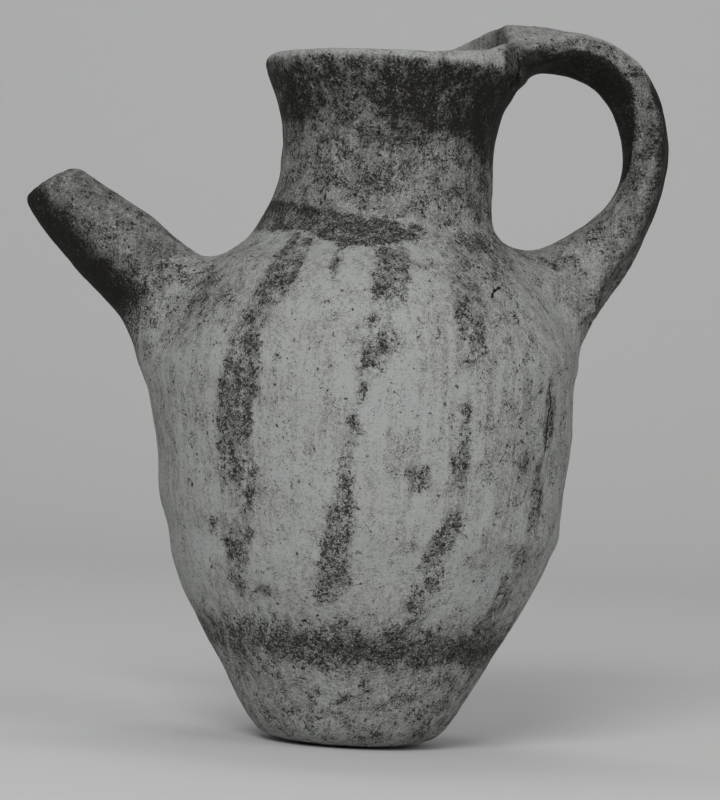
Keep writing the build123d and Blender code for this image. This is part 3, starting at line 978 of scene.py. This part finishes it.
def wall_dirt_and_shade(points, angle, z):
    """Dirt and painted shade on the body and the neck."""
    # Both sides of the body are a little darker than its front: painted shade, with some dirt on the spout's
    # side
    dirt_and_shading = BARE_SLIP_SOIL + 0.12 * on_side(angle, 60, (22, 62)) * (1 - 0.6 * ease(z, 138, 160))
    dirt_and_shading += 0.10 * on_side(angle, -60, (28, 60)) * ease(z, 60, 125)
    for *place, amount in DIRT_AND_SHADE_PATCHES:
        dirt_and_shading += amount * patch(points, *place)
    # A belt of dirt with the painted shadow of a ring stand above the base, and painted shadow all over the
    # base
    ring = np.exp(-(((z - BELT_LINE) / BELT_REACH) ** 2))
    dirt_and_shading += BELT_DIRT_AND_SHADOW * ring * (0.8 + 0.2 * np.cos(np.radians(angle)))
    dirt_and_shading += BASE_SHADOW * ease(-z, -32, -18)
    # The neck is darker than the body and darkest towards the lip; towards the handle it is darker as painted
    # shade
    neck = ease(z, 183, 188)
    neck_soil = by_height(z, NECK_SOIL, NECK_CLIMBS) + 0.10 * ease(angle, 20, 60)
    return dirt_and_shading * (1 - neck) + neck * neck_soil

# %% Paint rubbed into the spout and the strap, with painted light and shade
SPOUT_SOIL = 0.58
STRAP_SOIL, STRAP_CLIMBS = 0.44, ((178, 200, 0.20), (205, 222, 0.08), (236, 248, -0.12))


def spout_paint_light_and_shade(points):
    """Paint rubbed into the spout, darker beneath with paint and painted shade, and a little paler on top as
    painted light.
    """
    from_root = points - SPOUT_ROOT
    along, over = from_root @ SPOUT_AXIS, from_root @ SPOUT_OVER
    beneath = ease(-over, -2, 10) * ease(along, 2, 14)
    # Paint and painted shade beneath, painted light on top
    return SPOUT_SOIL + 0.40 * beneath + 0.06 * ease(along, 40, 60) - 0.08 * ease(over, 6, 13)


def strap_paint_light_and_shade(points, rho, across, z):
    """Paint rubbed into the strap, with painted shade on its lower face, its outer side and beside the cleft,
    and painted light on its top.
    """
    _, out, (under_depth, over_depth) = strap_part(points)
    under_face, over_face = ease(-under_depth, -1.3, -0.3), ease(-over_depth, -2.6, -0.4)
    dirt_and_shading = by_height(z, STRAP_SOIL, STRAP_CLIMBS)
    # The upper face and the outer side are dark below the bend, paint and painted shade, and the face is
    # paler above it as painted light
    dirt_and_shading += over_face * (0.16 * ease(-z, -246, -238) - 0.32 * ease(z, 244, 251))
    dirt_and_shading += 0.16 * ease(out, 2, 7) * ease(-z, -246, -238)
    # The lower face is nearly black from half way up the loop: paint and painted shade
    dirt_and_shading += under_face * (0.80 * ease(z, 200, 216) - 0.10)
    # The far edge is paler on top as painted light, and paint and painted shade lie beside the cleft
    dirt_and_shading -= 0.30 * ease(across, 9, 13) * ease(z, 244, 250)
    beside_cleft = ease(rho - across / 6, 42.0, 44.5) * ease(-across, 4, 8) * ease(-rho, -64, -54)
    return dirt_and_shading + 0.34 * beside_cleft * ease(-z, -256, -250)

# %% [markdown]
# Each point of the mesh gets all the numbers: its depth inside a painted edge, how much paint is
# left there and how strong it is, the dirt with painted light and shade, whether it lies inside the
# jug, and its way to the cracks. The lip's top, the spout, the strap and the near web each lay their
# own dirt and painted light and shade over the wall's, one after the other.
# %% The numbers on each point
PAINT_STRENGTH, STRENGTH_CLIMBS = 0.76, ((172, 176, 0.14), (208, 214, 0.18))


def surface_numbers(points):
    """The numbers that the shader reads at each point."""
    angle, z = angle_from_front(points), points[:, 2]
    off_axis = np.hypot(points[:, 0] - neck_lean(z), points[:, 1])
    off_wall = look_up(body_sheet, off_axis, z)
    edge, paint = painted(points)
    edge = edge - 2.2 * np.maximum(off_wall - 2.5, 0)

    rho, across = points @ STRAP_ALONG, points @ STRAP_ACROSS
    past_cleft = ease(rho - across / 6, 41.5, 44.0) * ease(-across, -8, 0)
    layers = (
        (ease(z, 240.0, 243.2) * (1 - past_cleft), LIP_TOP_SOIL),
        (ease(off_wall, 2, 14) * ease(-points[:, 0], 46, 66), spout_paint_light_and_shade(points)),
        (ease(off_wall, 1.5, 9) * ease(points[:, 0], 20, 40), strap_paint_light_and_shade(points, rho, across, z)),
        (ease(-across, 11, 14) * ease(z, 241.5, 244) * ease(across / 6 - rho, -43.5, -41.5), FLAP_SOIL),
    )
    dirt_and_shading = wall_dirt_and_shade(points, angle, z)
    for cover, other in layers:
        dirt_and_shading = dirt_and_shading * (1 - cover) + cover * other

    strength = by_height(z, PAINT_STRENGTH, STRENGTH_CLIMBS)
    hollow = look_up(hollow_sheet, off_axis, z)
    inside = ease(-hollow, -2.6, -0.8) * ease(-z, -243.5, -238)
    beside, far = crack_numbers(points)
    far = np.where(inside > 0, CRACK_REACH, far)
    numbers = {"edge": edge, "paint": paint, "strength": strength, "dirt_and_shading": np.clip(dirt_and_shading, 0, 1)}
    return numbers | {"inside": inside, "beside_crack": beside, "from_crack": far}


for name, piece in pieces.items():
    mesh = piece.data
    flat = np.empty(len(mesh.vertices) * 3, np.float32)
    mesh.vertices.foreach_get("co", flat)
    for title, values in surface_numbers(flat.reshape(-1, 3).astype(float) / MM).items():
        layer = mesh.attributes.new(title, "FLOAT", "POINT")
        layer.data.foreach_set("value", values.astype(np.float32))
    mesh.shade_smooth()
    mesh.set_sharp_from_angle(angle=radians(48))
print("numbers on each point:", sorted(surface_numbers(skin_points[:1])))

# %% [markdown]
# ## Finishes
# Every finish is made of the same few things, so each of these is a node group: dark specks,
# pits, brush strokes in the slip, and a painted edge worn ragged. They are placed in each
# material with their own sizes. All of them read the object's own coordinates, which are metres
# on the jug, so a speck has a real size and nothing slides when the view turns.
# %% Small helpers for node trees
def join_up(tree, source, target):
    """Links a socket to another, or sets the target's value when the source is plain."""
    if isinstance(source, bpy.types.NodeSocket):
        tree.links.new(source, target)
    else:
        target.default_value = source


def math_node(tree, how, a, b=0.5, c=0.5):
    """A Math node."""
    node = tree.nodes.new("ShaderNodeMath")
    node.operation = how
    for socket, value in zip(node.inputs, (a, b, c)):
        join_up(tree, value, socket)
    return node.outputs[0]


def times(tree, a, b):
    """One value times another."""
    return math_node(tree, "MULTIPLY", a, b)


def more(tree, total, value, amount):
    """The total with so much of a value added."""
    return math_node(tree, "MULTIPLY_ADD", value, amount, total)


def sway(tree, total, noise, amount):
    """The total pushed up and down by a noise, whose middle is one half."""
    return more(tree, math_node(tree, "SUBTRACT", total, amount / 2), noise, amount)


def ramp_node(tree, value, low, high, to_low=0.0, to_high=1.0):
    """A smooth step of a value from low to high."""
    node = tree.nodes.new("ShaderNodeMapRange")
    node.interpolation_type = "SMOOTHSTEP"
    for socket, given in zip(node.inputs, (value, low, high, to_low, to_high)):
        join_up(tree, given, socket)
    return node.outputs[0]

# %% Helpers for noise and colour
def noise_node(tree, place, scale, detail=2.0, rough=0.5):
    """Noise in features per metre."""
    node = tree.nodes.new("ShaderNodeTexNoise")
    join_up(tree, place, node.inputs["Vector"])
    join_up(tree, scale, node.inputs["Scale"])
    node.inputs["Detail"].default_value = detail
    node.inputs["Roughness"].default_value = rough
    return node.outputs


def mix_node(tree, factor, a, b, how="MIX"):
    """A colour between a and b, or a times b when how is MULTIPLY."""
    node = tree.nodes.new("ShaderNodeMix")
    node.data_type = "RGBA"
    node.blend_type = how
    for socket, value in zip((node.inputs[0], node.inputs[6], node.inputs[7]), (factor, a, b)):
        join_up(tree, value, socket)
    return node.outputs[2]


def new_group(name, numbers, outputs):
    """A shader node group that takes a place and named numbers, and puts out numbers."""
    tree = bpy.data.node_groups.new(name, "ShaderNodeTree")
    tree.interface.new_socket(name="Place", in_out="INPUT", socket_type="NodeSocketVector")
    for title, value in numbers.items():
        socket = tree.interface.new_socket(name=title, in_out="INPUT", socket_type="NodeSocketFloat")
        socket.default_value = value
    for title in outputs:
        tree.interface.new_socket(name=title, in_out="OUTPUT", socket_type="NodeSocketFloat")
    return tree, tree.nodes.new("NodeGroupInput").outputs, tree.nodes.new("NodeGroupOutput").inputs

# %% [markdown]
# Dark specks are the peaks of two fine noises. Where the density is high, the level that a peak
# must reach comes down, so there are more and larger specks. A broad noise gathers them in
# clusters, as dirt does, and the same noise is handed on as a soft mottle.
# %% Specks
specks, given, gives = new_group("dark_specks", {"Density": 0.3, "Per metre": 900.0}, ("Specks", "Mottle"))
cluster = noise_node(specks, given["Place"], 170.0, 4.0, 0.66)[0]
crowd = math_node(specks, "ADD", given["Density"], ramp_node(specks, cluster, 0.3, 0.7, -0.34, 0.34))
small = noise_node(specks, given["Place"], given["Per metre"], 2.0, 0.55)[0]
large = noise_node(specks, given["Place"], times(specks, given["Per metre"], 0.45))[0]
small_left = math_node(specks, "SUBTRACT", small, ramp_node(specks, crowd, 0.0, 1.0, 0.69, 0.46))
large_left = math_node(specks, "SUBTRACT", large, ramp_node(specks, crowd, 0.0, 1.0, 0.71, 0.52))
small_dots = ramp_node(specks, small_left, -0.03, 0.07, 0.0, 0.85)
large_dots = ramp_node(specks, large_left, -0.02, 0.05)
join_up(specks, math_node(specks, "MAXIMUM", small_dots, large_dots), gives["Specks"])
join_up(specks, ramp_node(specks, cluster, 0.34, 0.66, -1.0, 1.0), gives["Mottle"])

# %% [markdown]
# Pits are where grit and straw fell out or burnt away in firing. Each cell of a Voronoi pattern
# may hold one: a random number picks which cells do, others give its width and its depth, and a
# small shift of the place keeps it from being round.
# %% Pits
PIT_SHIFT = 1.8 * MM
pits, given, gives = new_group("pits", {"Per metre": 230.0, "Share": 0.3, "Size": 0.13}, ("Pits",))
bend = noise_node(pits, given["Place"], 700.0, 1.0)
shift = pits.nodes.new("ShaderNodeVectorMath")
shift.operation = "MULTIPLY_ADD"
for socket, value in zip(shift.inputs, (bend["Color"], [PIT_SHIFT] * 3, given["Place"])):
    join_up(pits, value, socket)
cells = pits.nodes.new("ShaderNodeTexVoronoi")
join_up(pits, shift.outputs[0], cells.inputs["Vector"])
join_up(pits, given["Per metre"], cells.inputs["Scale"])
pick = pits.nodes.new("ShaderNodeSeparateColor")
join_up(pits, cells.outputs["Color"], pick.inputs[0])
chosen = math_node(pits, "LESS_THAN", pick.outputs[0], given["Share"])
reach = times(pits, given["Size"], ramp_node(pits, pick.outputs[1], 0.0, 1.0, 0.6, 1.7))
hole = ramp_node(pits, cells.outputs["Distance"], reach, times(pits, reach, 0.35))
deep = ramp_node(pits, pick.outputs[2], 0.0, 1.0, 0.25, 1.0)
join_up(pits, times(pits, times(pits, hole, chosen), deep), gives["Pits"])

# %% [markdown]
# The slip was wiped on with a brush or a wet hand, mostly downwards, which leaves faint long
# strokes: noise that is squeezed sideways. Over them lie broad soft patches where the slip is
# thicker or thinner.
# %% Strokes of the brush
STROKES_PER_METRE = (420.0, 420.0, 26.0)
strokes, given, gives = new_group("brush_strokes", {}, ("Strokes", "Patches"))
squeeze = strokes.nodes.new("ShaderNodeMapping")
join_up(strokes, given["Place"], squeeze.inputs["Vector"])
squeeze.inputs["Scale"].default_value = STROKES_PER_METRE
long_noise = noise_node(strokes, squeeze.outputs[0], 1.0, 3.0, 0.6)[0]
join_up(strokes, ramp_node(strokes, long_noise, 0.34, 0.68), gives["Strokes"])
cloud = noise_node(strokes, given["Place"], 60.0, 4.0, 0.62)[0]
join_up(strokes, ramp_node(strokes, cloud, 0.32, 0.68), gives["Patches"])

# %% [markdown]
# Worn paint starts from the number that tells how far inside a painted edge a point is. Noise
# added to it frays the edge. A second noise stands for rubbing: where less of the paint is left,
# only its strongest places hold.
# %% Worn paint
FRAY = 6.4
worn, given, gives = new_group("worn_paint", {"Edge": 0.0, "Left": 1.0}, ("Paint",))
ragged = noise_node(worn, given["Place"], 260.0, 4.0, 0.7)[0]
covered = ramp_node(worn, sway(worn, given["Edge"], ragged, FRAY), -1.9, 2.1)
rubbing = noise_node(worn, given["Place"], 210.0, 5.0, 0.72)[0]
hold = ramp_node(worn, given["Left"], 0.0, 1.3, 0.74, 0.22)
kept = ramp_node(worn, math_node(worn, "SUBTRACT", rubbing, hold), -0.16, 0.22)
join_up(worn, times(worn, covered, kept), gives["Paint"])
print("node groups:", [g.name for g in bpy.data.node_groups])

# %% [markdown]
# The clay finish puts them together as one number, how dark the surface is, from bare slip at 0
# to the blackest speck at 1, and one ramp of colours. Dirt, painted shade and paint raise the
# number evenly and raise the share of dark specks too, grain and mottling push it up and down, and
# pits are dark and also deep, because the bump reads the same masks. The two tables say how much
# each mask darkens the clay and how far it raises the surface.
# %% What darkens and what raises the clay
SLIP_RAMP = (
    (0.00, (0.360, 0.368, 0.360)), (0.18, (0.258, 0.262, 0.254)), (0.38, (0.152, 0.153, 0.146)),
    (0.60, (0.082, 0.082, 0.077)), (0.80, (0.038, 0.037, 0.034)), (1.00, (0.011, 0.010, 0.009)),
)
BARE_RAMP = ((0.0, (0.20, 0.195, 0.18)), (0.5, (0.10, 0.097, 0.09)), (1.0, (0.02, 0.019, 0.018)))
COOL_TINT, WARM_TINT = (0.985, 1.0, 0.995, 1), (1.01, 1.0, 0.99, 1)
# The second of these pushes the deepest dirt and painted shade, under the strap and the spout, towards black
PAINT_WASH, DEEP_DIRT_AND_SHADE, PAINT_DENSITY = 0.32, 0.34, 0.94
SWAYS = {"grain": 0.96, "sand": 0.54}
DARKENS = {"mottle": 0.045, "flakes": -0.42, "marks": 0.62}
RAISES = {"grain": 0.16, "sand": 0.35, "waviness": 0.75, "strokes": 0.10, "marks": -0.75, "specks": -0.14}


def colours_node(tree, value, stops):
    """A ramp of colours."""
    node = tree.nodes.new("ShaderNodeValToRGB")
    join_up(tree, value, node.inputs[0])
    marks = node.color_ramp.elements
    while len(marks) < len(stops):
        marks.new(0.5)
    for mark, (place, colour) in zip(marks, stops):
        mark.position = place
        mark.color = colour + (1,)
    return node.outputs["Color"]


def number(tree, title):
    """One of the numbers that lie on each point."""
    node = tree.nodes.new("ShaderNodeAttribute")
    node.attribute_name = title
    return node.outputs["Fac"]


def group(tree, made, place, **values):
    """A node group placed in a material; in its inputs' names _ stands for a space."""
    node = tree.nodes.new("ShaderNodeGroup")
    node.node_tree = made
    join_up(tree, place, node.inputs["Place"])
    for title, value in values.items():
        join_up(tree, value, node.inputs[title.replace("_", " ")])
    return node.outputs

# %% [markdown]
# A crack is drawn where the number beside_crack passes through zero. The sand's noise is
# added first, so that the line winds, and from_crack ends it.
# %% Masks of the clay
def crack_mask(tree, sand):
    """1 along the middle of a crack."""
    winding = sway(tree, number(tree, "beside_crack"), sand, 1.6)
    line = ramp_node(tree, math_node(tree, "ABSOLUTE", winding), 0.46, 0.18)
    return times(tree, line, ramp_node(tree, number(tree, "from_crack"), 1.3, 0.7))


def clay_masks(tree, place, density, brush, pitted):
    """The masks that the tables of the clay finish name."""
    speckle = group(tree, specks, place, Density=density, Per_metre=1900.0)
    sand = noise_node(tree, place, 800.0, 2.0, 0.55)[0]
    holes = group(tree, pits, place, Per_metre=300.0, Share=pitted, Size=0.15)["Pits"]
    big_holes = group(tree, pits, place, Per_metre=120.0, Share=0.32, Size=0.085)["Pits"]
    marks = math_node(tree, "MAXIMUM", holes, big_holes)
    flakes = ramp_node(tree, noise_node(tree, place, 1150.0, 2.0, 0.6)[0], 0.56, 0.70)
    return {
        "specks": speckle["Specks"],
        "mottle": speckle["Mottle"],
        "strokes": brush["Strokes"],
        "sand": sand,
        "grain": noise_node(tree, place, 2100.0, 2.0, 0.6)[0],
        "waviness": noise_node(tree, place, 260.0, 4.0, 0.62)[0],
        "flakes": times(tree, flakes, density),
        "marks": math_node(tree, "MAXIMUM", marks, times(tree, crack_mask(tree, sand), 1.7)),
    }

# %% The clay finish
def clay_finish(name, stops=SLIP_RAMP, pitted=0.40, wash_share=0.60, speck_share=0.90):
    """A matt, pitted clay with slip, worn paint, dirt and painted light and shade."""
    material = bpy.data.materials.new(name)
    material.use_nodes = True
    tree = material.node_tree
    shader = tree.nodes["Principled BSDF"]
    place = tree.nodes.new("ShaderNodeTexCoord").outputs["Object"]

    brush = group(tree, strokes, place)
    dirt_and_shading = number(tree, "dirt_and_shading")
    paint = group(tree, worn, place, Edge=number(tree, "edge"), Left=number(tree, "paint"))["Paint"]
    painted_here = times(tree, paint, number(tree, "strength"))
    wash = more(tree, times(tree, dirt_and_shading, wash_share), painted_here, PAINT_WASH)
    # The deepest dirt and painted shade go nearly black
    wash = math_node(tree, "ADD", wash, ramp_node(tree, dirt_and_shading, 0.72, 1.0, 0.0, DEEP_DIRT_AND_SHADE))
    wash = sway(tree, wash, brush["Patches"], 0.12)
    wash = sway(tree, wash, brush["Strokes"], 0.15)
    painted_specks = times(tree, painted_here, PAINT_DENSITY)
    density = math_node(tree, "MAXIMUM", times(tree, dirt_and_shading, speck_share), painted_specks)
    masks = clay_masks(tree, place, density, brush, pitted)

    dark = more(tree, wash, masks["specks"], ramp_node(tree, wash, 0.0, 0.6, 0.66, 0.42))
    for title, amount in SWAYS.items():
        dark = sway(tree, dark, masks[title], amount)
    for title, amount in DARKENS.items():
        dark = more(tree, dark, masks[title], amount)
    slip, bare = colours_node(tree, dark, stops), colours_node(tree, dark, BARE_RAMP)
    colour = mix_node(tree, number(tree, "inside"), slip, bare)
    tint = mix_node(tree, brush["Patches"], COOL_TINT, WARM_TINT)
    join_up(tree, mix_node(tree, 1.0, colour, tint, "MULTIPLY"), shader.inputs["Base Color"])
    join_up(tree, ramp_node(tree, density, 0.0, 1.0, 0.86, 0.72), shader.inputs["Roughness"])
    shader.inputs["IOR"].default_value = 1.45
    shader.inputs["Specular IOR Level"].default_value = 0.2

    height = 0.0
    for title, amount in RAISES.items():
        height = more(tree, height, masks[title], amount)
    bump = tree.nodes.new("ShaderNodeBump")
    bump.inputs["Strength"].default_value = 0.75
    bump.inputs["Distance"].default_value = 0.9 * MM
    join_up(tree, height, bump.inputs["Height"])
    join_up(tree, bump.outputs[0], shader.inputs["Normal"])
    return material

# %% [markdown]
# The same clay is used five times. The spout and the handle carry rubbed paint all over, so
# more of their dirt and painted shade is an even wash, and the neck has more pits.
# %% Finishes on the pieces
FINISH = {
    "body_slip": clay_finish("body_slip_finish", wash_share=0.50, speck_share=1.10),
    "neck_slip": clay_finish("neck_slip_finish", pitted=0.62),
    "spout_paint": clay_finish("spout_paint_finish", wash_share=0.70, speck_share=0.70),
    "handle_paint": clay_finish("handle_paint_finish", wash_share=0.66, speck_share=0.78),
    "inner_clay": clay_finish("inner_clay_finish", stops=BARE_RAMP),
}
SLOTS = dict.fromkeys(("base", "lower_wall", "belly_wall", "shoulder", "spout_collar"), "body_slip")
SLOTS |= {"neck": "neck_slip", "rim": "neck_slip", "spout": "spout_paint", "handle_wad": "inner_clay"}
SLOTS |= dict.fromkeys(("handle", "handle_collar", "handle_saddle"), "handle_paint")
for name, piece in pieces.items():
    piece.data.materials.clear()
    piece.data.materials.append(FINISH[SLOTS[name]])
    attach(piece, "root")
    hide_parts(name)
print("finishes:", sorted(FINISH))

# %% [markdown]
# ## Floor and light
# The jug stands on a pale floor that curves up behind it. A large soft lamp high on the left
# gives the round body its shape, a weak one on the right keeps the shadow side open, and the
# world adds a little from everywhere.
# %% Floor and backdrop
def sweep(name, half_width, near, far, bend, height):
    """A floor that turns up into a backdrop; its sizes are in millimetres."""
    line = [(near, 0), (far - bend, 0)]
    line += [(far - bend + bend * sin(a), bend - bend * cos(a)) for a in np.linspace(0, pi / 2, 13)[1:]]
    line.append((far, height))
    points = [(x, y, z) for y, z in line for x in (-half_width, half_width)]
    faces = [(2 * i, 2 * i + 1, 2 * i + 3, 2 * i + 2) for i in range(len(line) - 1)]
    made = mesh_object(name, points, faces)
    made.data.shade_smooth()
    return made


FLOOR_DROP = 0.2
floor = sweep("floor", half_width=4000, near=-3000, far=2200, bend=800, height=3500)
floor.location.z = -FLOOR_DROP * MM
paper = bpy.data.materials.new("backdrop_paper")
paper.use_nodes = True
paper_shader = paper.node_tree.nodes["Principled BSDF"]
paper_shader.inputs["Base Color"].default_value = (0.66, 0.67, 0.66, 1)
paper_shader.inputs["Roughness"].default_value = 0.9
floor.data.materials.append(paper)
print("floor:", len(floor.data.polygons), "faces")

# %% Lamps and world
def soft_lamp(name, place, aim, size, power):
    """A round lamp at a place in metres, turned towards another, with its power in watts."""
    lamp = bpy.data.lights.new(name, "AREA")
    lamp.shape = "DISK"
    lamp.size = size
    lamp.energy = power
    made = add_object(name, lamp)
    made.location = place
    made.rotation_euler = (Vector(aim) - Vector(place)).to_track_quat("-Z", "Y").to_euler()


soft_lamp("window", (-0.35, -1.95, 1.2), (0, 0, 0.13), 0.9, 28.5)
soft_lamp("card", (1.5, -0.9, 0.9), (0, 0, 0.12), 1.2, 6)
soft_lamp("backdrop_lamp", (0, 0.7, 2.3), (0, 2.2, 0.5), 1.2, 9.5)
world = bpy.data.worlds.new("soft_room")
world.use_nodes = True
sky = world.node_tree.nodes["Background"]
sky.inputs["Color"].default_value = (1, 1, 1, 1)
sky.inputs["Strength"].default_value = 0.24
bpy.context.scene.world = world
bpy.context.scene.view_settings.view_transform = "Standard"
